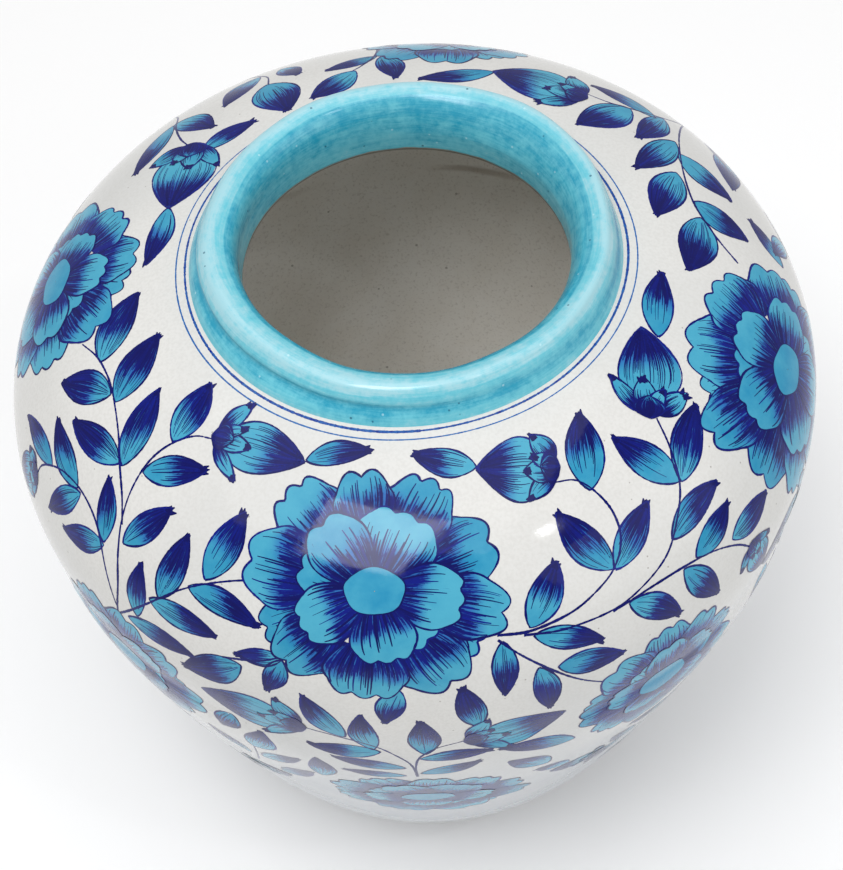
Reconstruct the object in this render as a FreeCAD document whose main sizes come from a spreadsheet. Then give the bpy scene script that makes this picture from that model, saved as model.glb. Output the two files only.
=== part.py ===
import FreeCAD, Part
import os
import Sketcher

# Squat round vase with a small turned foot and a short rolled neck. Millimetres, +Z up, origin at
# the centre of the foot's resting face. Every piece is turned about Z: one closed section per piece.

SIZES = [
    # foot and floor
    ("foot_radius", 47.0),
    ("foot_waist_radius", 46.2),
    ("foot_height", 8.0),
    ("foot_recess_radius", 37.5),
    ("foot_edge_round", 1.2),
    ("floor_radius", 41.0),
    ("floor_thickness", 5.0),
    # joints of clay slip between the pieces
    ("slip_thickness", 1.2),
    # lower body: control points of the outer curve, foot to belly
    ("flare_radius", 72.5),
    ("flare_height", 21.0),
    ("haunch_radius", 72.5),
    ("haunch_height", 51.5),
    ("belly_radius", 98.7),
    ("belly_height", 136.0),
    ("belly_rise_below", 21.0),
    ("wall", 5.5),
    # upper body: control points of the outer curve, belly to neck
    ("belly_rise_above", 8.0),
    ("shoulder_radius", 112.5),
    ("shoulder_height", 185.0),
    ("neck_seat_radius", 51.0),
    ("neck_seat_height", 196.5),
    ("mouth_radius", 39.5),
    ("cavity_shoulder_radius", 108.5),
    ("cavity_shoulder_height", 182.5),
    # neck collar and rolled lip
    ("collar_foot_radius", 50.2),
    ("collar_height", 2.9),
    ("collar_top_radius", 47.8),
    ("throat_radius", 38.8),
    ("lip_height", 4.6),
    ("lip_crest_radius", 44.8),
    ("lip_outer_pull_radius", 49.8),
    ("lip_inner_pull_radius", 41.2),
]

# Heights that follow from the sizes above
LOWER_START = "Sizes.foot_height + Sizes.slip_thickness"
FLOOR_TOP = "Sizes.foot_height + Sizes.slip_thickness + Sizes.floor_thickness"
UPPER_START = "Sizes.belly_height + Sizes.slip_thickness"
COLLAR_START = "Sizes.neck_seat_height + Sizes.slip_thickness"
LIP_START = COLLAR_START + " + Sizes.collar_height"
CREST = LIP_START + " + Sizes.lip_height"
HOLE_BOTTOM = "Sizes.neck_seat_height - Sizes.wall - 0.5"
INNER_BELLY = "Sizes.belly_radius - Sizes.wall"

AXIS = "axis"  # a point on the Z axis
GROUND = "ground"  # a point on the plane the foot stands on

doc = FreeCAD.newDocument("vase")
sheet = doc.addObject("Spreadsheet::Sheet", "Sizes")
for row, (alias, value) in enumerate(SIZES, start=1):
    sheet.set("A%d" % row, alias)
    sheet.set("B%d" % row, str(value))
    sheet.setAlias("B%d" % row, alias)
doc.recompute()


def number(expression):
    """The value of an expression over the sheet, used to place geometry near its final position."""
    return float(sheet.evalExpression(expression))


def pin_point(sketch, geometry, point, radius, height):
    """Fixes one sketch point at (radius, height), each an expression over the sheet."""
    if radius == AXIS:
        sketch.addConstraint(Sketcher.Constraint("PointOnObject", geometry, point, -2))
    else:
        index = sketch.addConstraint(
            Sketcher.Constraint("DistanceX", -1, 1, geometry, point, number(radius))
        )
        sketch.setExpression("Constraints[%d]" % index, radius)
    if height == GROUND:
        sketch.addConstraint(Sketcher.Constraint("PointOnObject", geometry, point, -1))
    else:
        index = sketch.addConstraint(
            Sketcher.Constraint("DistanceY", -1, 1, geometry, point, number(height))
        )
        sketch.setExpression("Constraints[%d]" % index, height)


def vector(corner):
    """A corner as a point of the sketch plane."""
    radius, height = corner[0], corner[1]
    x = 0.0 if radius == AXIS else number(radius)
    y = 0.0 if height == GROUND else number(height)
    return FreeCAD.Vector(x, y, 0)


def add_curve(sketch, start, pulls, end):
    """A Bezier curve from start to end whose inner control points are held by the sheet."""
    poles = [vector(start)] + [vector(p) for p in pulls] + [vector(end)]
    degree = len(poles) - 1
    spline = Part.BSplineCurve()
    spline.buildFromPolesMultsKnots(poles, [degree + 1, degree + 1], [0.0, 1.0], False, degree)
    curve = sketch.addGeometry(spline, False)
    circles = []
    for pole in poles:
        circle = Part.Circle(pole, FreeCAD.Vector(0, 0, 1), 1.0)
        circles.append(sketch.addGeometry(circle, True))
    for order, circle in enumerate(circles):
        sketch.addConstraint(Sketcher.Constraint("Weight", circle, 1.0))
        sketch.addConstraint(
            Sketcher.Constraint(
                "InternalAlignment:Sketcher::BSplineControlPoint", circle, 3, curve, order
            )
        )
    for pull, circle in zip(pulls, circles[1:-1]):
        pin_point(sketch, circle, 3, pull[0], pull[1])
    return curve


def turned_piece(name, section):
    """A piece turned about Z. The section is a closed list of corners (radius, height, pulls), where
    pulls, if given, are the control points of a curve from that corner to the next one."""
    body = doc.addObject("PartDesign::Body", name)
    body.Label = name
    sketch = body.newObject("Sketcher::SketchObject", name + "_section")
    plane = [f for f in body.Origin.OriginFeatures if f.Role == "XZ_Plane"][0]
    sketch.AttachmentSupport = [(plane, "")]
    sketch.MapMode = "FlatFace"
    edges = []
    for index, corner in enumerate(section):
        following = section[(index + 1) % len(section)]
        if len(corner) == 3:
            edges.append(add_curve(sketch, corner, corner[2], following))
        else:
            line = Part.LineSegment(vector(corner), vector(following))
            edges.append(sketch.addGeometry(line, False))
    for index, edge in enumerate(edges):
        following = edges[(index + 1) % len(edges)]
        sketch.addConstraint(Sketcher.Constraint("Coincident", edge, 2, following, 1))
    for edge, corner in zip(edges, section):
        pin_point(sketch, edge, 1, corner[0], corner[1])
    doc.recompute()
    turn = body.newObject("PartDesign::Revolution", name + "_turned")
    turn.Profile = sketch
    turn.ReferenceAxis = (sketch, ["V_Axis"])
    turn.Angle = 360
    sketch.Visibility = False
    return body


def washer(name, inner, outer, bottom, top):
    """A flat ring of rectangular section."""
    return turned_piece(name, [(inner, bottom), (outer, bottom), (outer, top), (inner, top)])


# Foot ring: a slightly waisted ring whose bottom edges are eased
foot_ring = turned_piece(
    "foot_ring",
    [
        ("Sizes.foot_recess_radius + Sizes.foot_edge_round", GROUND),
        ("Sizes.foot_radius - Sizes.foot_edge_round", GROUND, [("Sizes.foot_radius", GROUND)]),
        (
            "Sizes.foot_radius",
            "Sizes.foot_edge_round",
            [("Sizes.foot_radius", "Sizes.foot_height / 2")],
        ),
        ("Sizes.foot_waist_radius", "Sizes.foot_height"),
        ("Sizes.foot_recess_radius", "Sizes.foot_height"),
        (
            "Sizes.foot_recess_radius",
            "Sizes.foot_edge_round",
            [("Sizes.foot_recess_radius", GROUND)],
        ),
    ],
)

# Slip that joins the foot ring to the lower body and to the floor
foot_slip = washer(
    "foot_slip",
    "Sizes.foot_recess_radius",
    "Sizes.foot_waist_radius",
    "Sizes.foot_height",
    LOWER_START,
)

# Floor: a disc that lies on the foot's slip inside the lower body
base_floor = turned_piece(
    "base_floor",
    [
        (AXIS, LOWER_START),
        ("Sizes.floor_radius", LOWER_START),
        ("Sizes.floor_radius", FLOOR_TOP),
        (AXIS, FLOOR_TOP),
    ],
)

# Lower half of the body, pressed in a mould: foot to belly
lower_body = turned_piece(
    "lower_body",
    [
        (
            "Sizes.foot_waist_radius",
            LOWER_START,
            [
                ("Sizes.flare_radius", "Sizes.flare_height"),
                ("Sizes.haunch_radius", "Sizes.haunch_height"),
                ("Sizes.belly_radius", "Sizes.belly_height - Sizes.belly_rise_below"),
            ],
        ),
        ("Sizes.belly_radius", "Sizes.belly_height"),
        (
            INNER_BELLY,
            "Sizes.belly_height",
            [
                (INNER_BELLY, "Sizes.belly_height - Sizes.belly_rise_below"),
                (
                    "Sizes.haunch_radius - 0.9 * Sizes.wall",
                    "Sizes.haunch_height + 0.3 * Sizes.wall",
                ),
                (
                    "Sizes.flare_radius - 0.6 * Sizes.wall",
                    "Sizes.flare_height + 0.9 * Sizes.wall",
                ),
            ],
        ),
        ("Sizes.floor_radius", FLOOR_TOP),
        ("Sizes.floor_radius", LOWER_START),
    ],
)

# Slip that joins the two halves at the belly
belly_slip = washer(
    "belly_slip",
    INNER_BELLY,
    "Sizes.belly_radius",
    "Sizes.belly_height",
    UPPER_START,
)

# Upper half of the body: belly to the flat seat of the neck, with the mouth hole
upper_body = turned_piece(
    "upper_body",
    [
        (
            "Sizes.belly_radius",
            UPPER_START,
            [
                ("Sizes.belly_radius", UPPER_START + " + Sizes.belly_rise_above"),
                ("Sizes.shoulder_radius", "Sizes.shoulder_height"),
            ],
        ),
        ("Sizes.neck_seat_radius", "Sizes.neck_seat_height"),
        ("Sizes.mouth_radius", "Sizes.neck_seat_height"),
        (
            "Sizes.mouth_radius",
            HOLE_BOTTOM,
            [
                ("Sizes.cavity_shoulder_radius", "Sizes.cavity_shoulder_height"),
                (INNER_BELLY, UPPER_START + " + Sizes.belly_rise_above"),
            ],
        ),
        (INNER_BELLY, UPPER_START),
    ],
)

# Slip that joins the neck to the upper body
neck_slip = washer(
    "neck_slip",
    "Sizes.mouth_radius",
    "Sizes.collar_foot_radius",
    "Sizes.neck_seat_height",
    COLLAR_START,
)

# Neck collar: short, spreading a little to its foot, with a hollow under the lip
neck_collar = turned_piece(
    "neck_collar",
    [
        (
            "Sizes.collar_foot_radius",
            COLLAR_START,
            [("Sizes.collar_top_radius", COLLAR_START + " + Sizes.collar_height / 3")],
        ),
        ("Sizes.collar_top_radius", LIP_START),
        ("Sizes.throat_radius", LIP_START),
        ("Sizes.mouth_radius", COLLAR_START),
    ],
)

# Rolled lip: a coil turned over on the collar, steeper outside than inside
rolled_lip = turned_piece(
    "rolled_lip",
    [
        (
            "Sizes.collar_top_radius",
            LIP_START,
            [
                ("Sizes.lip_outer_pull_radius", LIP_START + " + Sizes.lip_height / 4"),
                ("Sizes.lip_outer_pull_radius", CREST),
            ],
        ),
        (
            "Sizes.lip_crest_radius",
            CREST,
            [
                ("Sizes.lip_inner_pull_radius", CREST),
                ("Sizes.throat_radius", LIP_START + " + 0.7 * Sizes.lip_height"),
            ],
        ),
        ("Sizes.throat_radius", LIP_START),
    ],
)

doc.recompute()

for item in doc.Objects:
    if "Invalid" in item.State or "Error" in item.State:
        raise RuntimeError("%s: %s" % (item.Label, item.State))

os.makedirs("parts", exist_ok=True)
pieces = [
    foot_ring,
    foot_slip,
    base_floor,
    lower_body,
    belly_slip,
    upper_body,
    neck_slip,
    neck_collar,
    rolled_lip,
]
for piece in pieces:
    if piece.Shape.isNull() or not piece.Shape.isValid():
        raise RuntimeError("%s has no valid shape" % piece.Label)
    piece.Shape.exportStep("parts/%s.step" % piece.Label)
    print(piece.Label, round(piece.Shape.Volume, 1), piece.Shape.BoundBox)
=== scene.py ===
"""Looks of a squat round vase: white glazed body, cobalt and turquoise flowers, turquoise neck.

Sizes are millimetres until a mesh is made. A place on the body is (azimuth, arc): azimuth in
degrees from the front (-Y) towards +X, and arc in mm down the outside from the neck's foot.
"""

import math

import bpy
import numpy as np
from mathutils import Matrix, Vector


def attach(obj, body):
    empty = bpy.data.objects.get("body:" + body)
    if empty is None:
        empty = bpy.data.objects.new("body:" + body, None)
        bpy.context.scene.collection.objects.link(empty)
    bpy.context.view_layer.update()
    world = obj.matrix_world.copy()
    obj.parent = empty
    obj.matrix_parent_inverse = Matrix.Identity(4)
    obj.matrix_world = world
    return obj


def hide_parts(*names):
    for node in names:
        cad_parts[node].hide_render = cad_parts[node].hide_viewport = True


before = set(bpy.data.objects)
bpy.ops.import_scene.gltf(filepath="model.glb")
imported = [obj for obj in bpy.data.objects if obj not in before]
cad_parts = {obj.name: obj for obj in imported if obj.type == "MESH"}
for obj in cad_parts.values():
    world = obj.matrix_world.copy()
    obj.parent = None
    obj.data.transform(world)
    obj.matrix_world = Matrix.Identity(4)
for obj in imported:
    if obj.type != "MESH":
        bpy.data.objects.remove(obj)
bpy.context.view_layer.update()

MM = 0.001

# ---------------------------------------------------------------- body surface

# Control points (radius, height) of the wall's outer and inner curves, foot to belly and belly to
# neck. They are the CAD model's, rounded to 0.1 mm.
LOWER_CURVE = [(46.2, 9.2), (72.5, 21.0), (72.5, 51.5), (98.7, 115.0), (98.7, 136.0)]
UPPER_CURVE = [(98.7, 137.2), (98.7, 145.2), (112.5, 185.0), (51.0, 196.5)]
INNER_LOWER = [(41.0, 14.2), (69.2, 26.0), (67.6, 53.2), (93.2, 115.0), (93.2, 136.0)]
INNER_UPPER = [(93.2, 137.2), (93.2, 145.2), (108.5, 182.5), (39.5, 190.5)]


def bezier(poles, count):
    """Points on a Bezier curve with these control points."""
    poles = np.array(poles, float)
    along = np.linspace(0.0, 1.0, count)[:, None]
    degree = len(poles) - 1
    total = 0.0
    for index, pole in enumerate(poles):
        weight = math.comb(degree, index) * (1 - along) ** (degree - index) * along**index
        total = total + weight * pole
    return total


def arc_lengths(points):
    steps = np.hypot(*np.diff(points, axis=0).T)
    return np.concatenate([[0.0], np.cumsum(steps)])


OUTSIDE = np.concatenate([bezier(LOWER_CURVE, 400), bezier(UPPER_CURVE, 400)])[::-1]
ARC = arc_lengths(OUTSIDE)
ARC_END = ARC[-1]


def radius_at(arc):
    return np.interp(arc, ARC, OUTSIDE[:, 0])


def body_lean(height):
    """How far the axis has drifted towards +X at a height, in mm: the vase stands a little crooked."""
    return 0.011 * (height - 125.0)


def hand_wobble(azimuth, arc):
    """How far the hand-pressed body stands off a true turned form, in mm."""
    turn = np.radians(azimuth)
    swell = 0.22 * np.sin(2 * turn + 0.6) + 0.16 * np.sin(3 * turn - 1.1 + arc / 70)
    ripple = 0.08 * np.sin(5 * turn + arc / 24)
    return (swell + ripple) * np.clip(arc / 40, 0, 1)


def body_point(azimuth, arc, lift=0.0):
    """Points on the outside of the body, in mm, lifted along the outward normal."""
    azimuth, arc = np.broadcast_arrays(np.asarray(azimuth, float), np.asarray(arc, float))
    radius = radius_at(arc)
    height = np.interp(arc, ARC, OUTSIDE[:, 1])
    ahead = np.clip(arc + 0.5, 0, ARC_END)
    behind = np.clip(arc - 0.5, 0, ARC_END)
    run = np.interp(ahead, ARC, OUTSIDE[:, 0]) - np.interp(behind, ARC, OUTSIDE[:, 0])
    drop = np.interp(behind, ARC, OUTSIDE[:, 1]) - np.interp(ahead, ARC, OUTSIDE[:, 1])
    length = np.hypot(run, drop)
    out = hand_wobble(azimuth, arc) + lift
    radius = radius + out * drop / length
    height = height + out * run / length
    turn = np.radians(azimuth)
    return np.stack([radius * np.sin(turn) + body_lean(height), -radius * np.cos(turn), height], -1)


def body_normal(azimuth, arc):
    """Outward unit normals of the body, hand wobble included."""
    across = body_point(np.asarray(azimuth) + 0.3, arc) - body_point(np.asarray(azimuth) - 0.3, arc)
    up = body_point(azimuth, np.clip(arc - 0.4, 0, ARC_END))
    up = up - body_point(azimuth, np.clip(arc + 0.4, 0, ARC_END))
    normal = np.cross(across, up)
    return normal / np.linalg.norm(normal, axis=-1, keepdims=True)


# ---------------------------------------------------------------- meshes


def make_mesh(name, points_mm, faces, material):
    mesh = bpy.data.meshes.new(name)
    mesh.from_pydata((np.asarray(points_mm) * MM).tolist(), [], faces)
    mesh.update()
    mesh.polygons.foreach_set("use_smooth", [True] * len(mesh.polygons))
    mesh.materials.append(material)
    piece = bpy.data.objects.new(name, mesh)
    bpy.context.scene.collection.objects.link(piece)
    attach(piece, "root")
    return piece


def set_attribute(piece, name, values):
    attribute = piece.data.attributes.new(name, "FLOAT", "POINT")
    attribute.data.foreach_set("value", np.asarray(values, np.float32).ravel())


def grid_faces(rows, columns, wrap_rows=False, wrap_columns=False, start=0):
    """Quads of a rows x columns grid of vertices numbered row by row."""
    row_count = rows if wrap_rows else rows - 1
    column_count = columns if wrap_columns else columns - 1
    row, column = np.meshgrid(np.arange(row_count), np.arange(column_count), indexing="ij")
    next_row, next_column = (row + 1) % rows, (column + 1) % columns
    corners = [
        row * columns + column,
        row * columns + next_column,
        next_row * columns + next_column,
        next_row * columns + column,
    ]
    return (np.stack(corners, -1).reshape(-1, 4) + start).tolist()


def turned(name, rings, material):
    """A closed piece of revolution: rings is an array (around, section, xyz) in mm."""
    around, section = rings.shape[:2]
    faces = grid_faces(around, section, wrap_rows=True, wrap_columns=True)
    return make_mesh(name, rings.reshape(-1, 3), faces, material)


def resample(points, step):
    """The same open line with a point about every step mm."""
    points = np.asarray(points, float)
    lengths = arc_lengths(points)
    places = np.linspace(0, lengths[-1], max(int(lengths[-1] / step), 2) + 1)
    return np.stack([np.interp(places, lengths, points[:, k]) for k in range(2)], -1)


def revolve(section, around):
    """Sweeps a section of (radius, height) about the body's axis."""
    turn = np.linspace(0, 2 * math.pi, around, endpoint=False)[:, None]
    radius, height = section[None, :, 0], section[None, :, 1]
    x, y = radius * np.sin(turn) + body_lean(height), -radius * np.cos(turn)
    return np.stack([x, y, np.broadcast_to(height, x.shape)], -1)


# ---------------------------------------------------------------- materials


class Nodes:
    """A short way to write node materials."""

    def __init__(self, name):
        self.material = bpy.data.materials.new(name)
        self.material.use_nodes = True
        self.tree = self.material.node_tree
        self.shader = self.tree.nodes["Principled BSDF"]
        self.place = self.node("ShaderNodeTexCoord").outputs["Object"]

    def node(self, kind, **settings):
        made = self.tree.nodes.new(kind)
        for key, value in settings.items():
            setattr(made, key, value)
        return made

    def link(self, source, target):
        self.tree.links.new(source, target)

    def put(self, socket, value):
        """Sets a socket to a constant or links it to an output."""
        if hasattr(value, "is_output"):
            self.link(value, socket)
        else:
            socket.default_value = value

    def attribute(self, name):
        return self.node("ShaderNodeAttribute", attribute_name=name).outputs["Fac"]

    def noise(self, per_metre, detail=3.0, rough=0.5, vector=None):
        made = self.node("ShaderNodeTexNoise")
        self.link(vector or self.place, made.inputs["Vector"])
        made.inputs["Scale"].default_value = per_metre
        made.inputs["Detail"].default_value = detail
        made.inputs["Roughness"].default_value = rough
        return made.outputs["Fac"]

    def math(self, operation, first, second=0.0, third=0.0):
        made = self.node("ShaderNodeMath", operation=operation)
        for socket, value in zip(made.inputs, (first, second, third)):
            self.put(socket, value)
        return made.outputs[0]

    def ramp(self, value, low, high, out_low=0.0, out_high=1.0):
        made = self.node("ShaderNodeMapRange", interpolation_type="SMOOTHSTEP")
        for name, number in zip(
            ("Value", "From Min", "From Max", "To Min", "To Max"),
            (value, low, high, out_low, out_high),
        ):
            self.put(made.inputs[name], number)
        return made.outputs["Result"]

    def mix(self, amount, first, second):
        made = self.node("ShaderNodeMix", data_type="RGBA")
        self.put(made.inputs[0], amount)
        for socket, value in ((made.inputs[6], first), (made.inputs[7], second)):
            self.put(socket, value)
        return made.outputs[2]

    def specks(self, per_metre, share, size):
        """1 inside sparse round specks: share of cells that hold one, size as a share of a cell."""
        cells = self.node("ShaderNodeTexVoronoi", feature="F1")
        self.link(self.place, cells.inputs["Vector"])
        cells.inputs["Scale"].default_value = per_metre
        split = self.node("ShaderNodeSeparateColor")
        self.link(cells.outputs["Color"], split.inputs["Color"])
        chosen = self.math("LESS_THAN", split.outputs[0], share)
        near = self.ramp(cells.outputs["Distance"], size * 0.6, size, 1.0, 0.0)
        return self.math("MULTIPLY", chosen, near)

    def bump(self, height, depth_mm, normal=None):
        made = self.node("ShaderNodeBump")
        made.inputs["Strength"].default_value = 1.0
        made.inputs["Distance"].default_value = depth_mm * MM
        self.link(height, made.inputs["Height"])
        if normal is not None:
            self.link(normal, made.inputs["Normal"])
        return made.outputs["Normal"]

    def finish(self, colour, roughness, normal=None, ior=1.5):
        self.put(self.shader.inputs["Base Color"], colour)
        self.put(self.shader.inputs["Roughness"], roughness)
        self.shader.inputs["IOR"].default_value = ior
        if normal is not None:
            self.link(normal, self.shader.inputs["Normal"])
        return self.material


def colour(red, green, blue):
    """An sRGB colour, 0 to 255, as the shader's linear one."""
    linear = [((c / 255 + 0.055) / 1.055) ** 2.4 if c > 10 else c / 3295 for c in (red, green, blue)]
    return (*linear, 1.0)


# Lower than a real glaze's 1.5, so that the pale studio doesn't wash out the cobalt.
CLEAR_GLAZE_IOR = 1.32


def glaze_relief(nodes):
    """Slow waviness and fine pitting of the clear glaze, the same on the ground and the painting."""
    waves = nodes.bump(nodes.noise(38.0, 2.0), 0.10)
    waves = nodes.bump(nodes.noise(260.0, 3.0), 0.014, waves)
    return nodes.bump(nodes.noise(900.0, 2.0), 0.005, waves)


def white_glaze():
    nodes = Nodes("white_glaze")
    cloud = nodes.ramp(nodes.noise(22.0, 4.0), 0.3, 0.7)
    ground = nodes.mix(cloud, colour(207, 207, 205), colour(215, 214, 211))
    fine = nodes.ramp(nodes.noise(1400.0, 2.0), 0.35, 0.7)
    ground = nodes.mix(nodes.math("MULTIPLY", fine, 0.35), ground, colour(195, 194, 190))
    dark = nodes.specks(420.0, 0.10, 0.11)
    ground = nodes.mix(nodes.math("MULTIPLY", dark, 0.55), ground, colour(120, 112, 104))
    split = nodes.node("ShaderNodeSeparateXYZ")
    nodes.link(nodes.place, split.inputs[0])
    height = nodes.math("ADD", split.outputs[2], nodes.math("MULTIPLY_ADD", cloud, 0.02, -0.01))
    # Bluish grey on the low body, strongest lowest down and fading out upward: painted shade and
    # painted reflection.
    low_shade_and_reflection = nodes.ramp(height, 0.045, 0.160, 0.60, 0.0)
    ground = nodes.mix(low_shade_and_reflection, ground, colour(158, 169, 184))
    rough = nodes.ramp(nodes.noise(160.0, 3.0), 0.3, 0.7, 0.05, 0.11)
    return nodes.finish(ground, rough, glaze_relief(nodes), CLEAR_GLAZE_IOR)


def painted_glaze():
    """Oxide painting under the clear glaze.

    Attributes: cobalt, 0 turquoise wash to 1 cobalt; tone, weak to strong; brush_x and brush_y,
    mm across and along the brush strokes.
    """
    nodes = Nodes("painted_glaze")
    tone, cobalt = nodes.attribute("tone"), nodes.attribute("cobalt")
    pool = nodes.noise(170.0, 4.0, 0.6)
    strength = nodes.ramp(nodes.math("ADD", tone, nodes.math("MULTIPLY", pool, 0.9)), 0.3, 1.2)
    stroke = nodes.node("ShaderNodeCombineXYZ")
    nodes.link(nodes.math("MULTIPLY", nodes.attribute("brush_x"), 2.1), stroke.inputs[0])
    nodes.link(nodes.math("MULTIPLY", nodes.attribute("brush_y"), 0.13), stroke.inputs[1])
    hair = nodes.noise(1.0, 3.0, 0.6, stroke.outputs[0])
    wash = nodes.mix(strength, colour(75, 163, 190), colour(28, 130, 172))
    wash = nodes.mix(nodes.ramp(cobalt, 0.0, 0.6, 0.0, 0.85), wash, colour(34, 90, 168))
    grain = nodes.math("MULTIPLY_ADD", nodes.noise(1500.0, 2.0), 0.4, -0.2)
    covered = nodes.math("ADD", cobalt, nodes.math("MULTIPLY_ADD", hair, 2.3, -1.15))
    covered = nodes.math("ADD", covered, grain)
    oxide = nodes.mix(strength, colour(7, 25, 128), colour(3, 7, 84))
    painted = nodes.mix(nodes.ramp(covered, 0.40, 0.66), wash, oxide)
    rough = nodes.ramp(nodes.noise(160.0, 3.0), 0.3, 0.7, 0.05, 0.11)
    return nodes.finish(painted, rough, glaze_relief(nodes), CLEAR_GLAZE_IOR)


def turquoise_glaze():
    """Brushed glaze of the neck.

    Attributes: around and down, mm of brushing; cover, 1 where it is thick, and low over the lip's
    crest, partly as a painted highlight there; bare, 1 where the clay shows.
    """
    nodes = Nodes("turquoise_glaze")
    brush = nodes.node("ShaderNodeCombineXYZ")
    nodes.link(nodes.math("MULTIPLY", nodes.attribute("around"), 0.06), brush.inputs[0])
    nodes.link(nodes.attribute("down"), brush.inputs[1])
    streaks = nodes.noise(0.42, 5.0, 0.65, brush.outputs[0])
    fine = nodes.noise(2.4, 3.0, 0.6, brush.outputs[0])
    cloud = nodes.noise(110.0, 3.0)
    cover = nodes.attribute("cover")
    depth = nodes.math("ADD", cover, nodes.math("MULTIPLY_ADD", streaks, 0.9, -0.45))
    depth = nodes.math("ADD", depth, nodes.math("MULTIPLY_ADD", fine, 0.5, -0.25))
    depth = nodes.math("ADD", depth, nodes.math("MULTIPLY_ADD", cloud, 0.6, -0.30))
    mottle = nodes.noise(480.0, 4.0, 0.7)
    depth = nodes.math("ADD", depth, nodes.math("MULTIPLY_ADD", mottle, 0.9, -0.45))
    glaze = nodes.mix(nodes.ramp(depth, 0.0, 0.55), colour(158, 205, 215), colour(104, 191, 207))
    glaze = nodes.mix(nodes.ramp(depth, 0.45, 1.1), glaze, colour(34, 151, 181))
    dark = nodes.specks(420.0, 0.10, 0.16)
    glaze = nodes.mix(nodes.math("MULTIPLY", dark, 0.7), glaze, colour(14, 76, 104))
    pale = nodes.specks(560.0, 0.05, 0.20)
    glaze = nodes.mix(nodes.math("MULTIPLY", pale, 0.35), glaze, colour(206, 236, 240))
    bare = nodes.math("ADD", nodes.attribute("bare"), nodes.math("MULTIPLY_ADD", cloud, 0.8, -0.4))
    bare = nodes.ramp(bare, 0.42, 0.58)
    clay = nodes.mix(nodes.noise(300.0, 3.0), colour(150, 140, 126), colour(176, 168, 155))
    glaze = nodes.mix(bare, glaze, clay)
    rough = nodes.ramp(bare, 0.0, 1.0, 0.19, 0.6)
    relief = nodes.bump(nodes.noise(1.1, 3.0, 0.5, brush.outputs[0]), 0.05)
    relief = nodes.bump(nodes.noise(60.0, 2.0), 0.30, relief)
    relief = nodes.bump(nodes.noise(220.0, 3.0), 0.035, relief)
    return nodes.finish(glaze, rough, relief)


def bare_clay(name, light, dark):
    nodes = Nodes(name)
    cloud = nodes.noise(45.0, 4.0)
    base = nodes.mix(nodes.ramp(cloud, 0.3, 0.7), light, dark)
    grain = nodes.noise(1600.0, 2.0)
    base = nodes.mix(nodes.ramp(grain, 0.45, 0.75, 0.0, 0.35), base, colour(112, 104, 94))
    specks = nodes.math("MULTIPLY", nodes.specks(300.0, 0.12, 0.15), 0.5)
    base = nodes.mix(specks, base, colour(84, 76, 68))
    turning = nodes.node("ShaderNodeTexWave", wave_type="BANDS", bands_direction="Z")
    nodes.link(nodes.place, turning.inputs["Vector"])
    turning.inputs["Scale"].default_value = 160.0
    turning.inputs["Distortion"].default_value = 2.5
    relief = nodes.bump(turning.outputs["Fac"], 0.03)
    relief = nodes.bump(grain, 0.03, relief)
    return nodes.finish(base, nodes.ramp(cloud, 0.2, 0.8, 0.62, 0.8), relief)


def interior_clay():
    """Bare clay with finger marks, and a smear of slip where the two halves were joined."""
    nodes = Nodes("interior_clay")
    cloud = nodes.noise(30.0, 5.0, 0.6)
    # Near white, lighter than the same bare clay on the foot: partly the clay's own pale colour,
    # partly painted light that brightens the shaded inside.
    base = nodes.mix(nodes.ramp(cloud, 0.3, 0.7), colour(250, 248, 243), colour(240, 236, 228))
    split = nodes.node("ShaderNodeSeparateXYZ")
    nodes.link(nodes.place, split.inputs[0])
    wander = nodes.math("MULTIPLY_ADD", nodes.noise(14.0, 3.0), 0.012, -0.006)
    off_seam = nodes.math("ADD", nodes.math("SUBTRACT", split.outputs[2], 0.129), wander)
    off_seam = nodes.math("ABSOLUTE", off_seam)
    smear = nodes.ramp(off_seam, 0.0003, 0.0016, 1.0, 0.0)
    smear = nodes.math("MULTIPLY", smear, nodes.ramp(nodes.noise(24.0, 2.0), 0.42, 0.58))
    base = nodes.mix(nodes.math("MULTIPLY", smear, 0.55), base, colour(150, 132, 108))
    grain = nodes.noise(1300.0, 2.0)
    base = nodes.mix(nodes.ramp(grain, 0.5, 0.8, 0.0, 0.3), base, colour(150, 140, 126))
    pits = nodes.specks(240.0, 0.10, 0.12)
    base = nodes.mix(nodes.math("MULTIPLY", pits, 0.5), base, colour(110, 98, 84))
    relief = nodes.bump(nodes.noise(70.0, 3.0), 0.35)
    relief = nodes.bump(smear, 0.4, relief)
    return nodes.finish(base, nodes.ramp(cloud, 0.2, 0.8, 0.6, 0.8), nodes.bump(grain, 0.03, relief))


WHITE = white_glaze()
PAINT = painted_glaze()
TURQUOISE = turquoise_glaze()
INTERIOR_CLAY = interior_clay()
FOOT_CLAY = bare_clay("foot_clay", colour(222, 219, 212), colour(206, 202, 194))

# ---------------------------------------------------------------- body, foot and neck

AROUND = 384  # points round the body and the neck
SKIN_STEP, SKIN_DEPTH = 1.2, 2.4  # mm between rings of the outer skin, and its thickness
GROOVE_AZIMUTH = -52.0  # where the groove under the lip is deepest
NECK_SHIFT = 0.7  # how far the neck's foot stands off the axis, like the leaning body below it


def build_body():
    """The glazed outer half of the wall, as one closed skin over both pressed halves."""
    arcs = np.arange(0.0, ARC_END, SKIN_STEP)
    arcs = np.append(arcs, ARC_END)
    azimuths = np.arange(AROUND) * 360.0 / AROUND
    outer = body_point(azimuths[:, None], arcs[None, :])
    backing_arcs = arcs[::-4]
    backing = body_point(azimuths[:, None], backing_arcs[None, :], -SKIN_DEPTH)
    seat = resample([(40.3, 196.3), (50.0, 196.4)], 2.0)
    seat = revolve(seat, AROUND)
    rings = np.concatenate([seat, outer, backing], axis=1)
    piece = turned("glazed_body", rings, WHITE)
    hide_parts("lower_body", "belly_slip", "upper_body")


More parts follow.
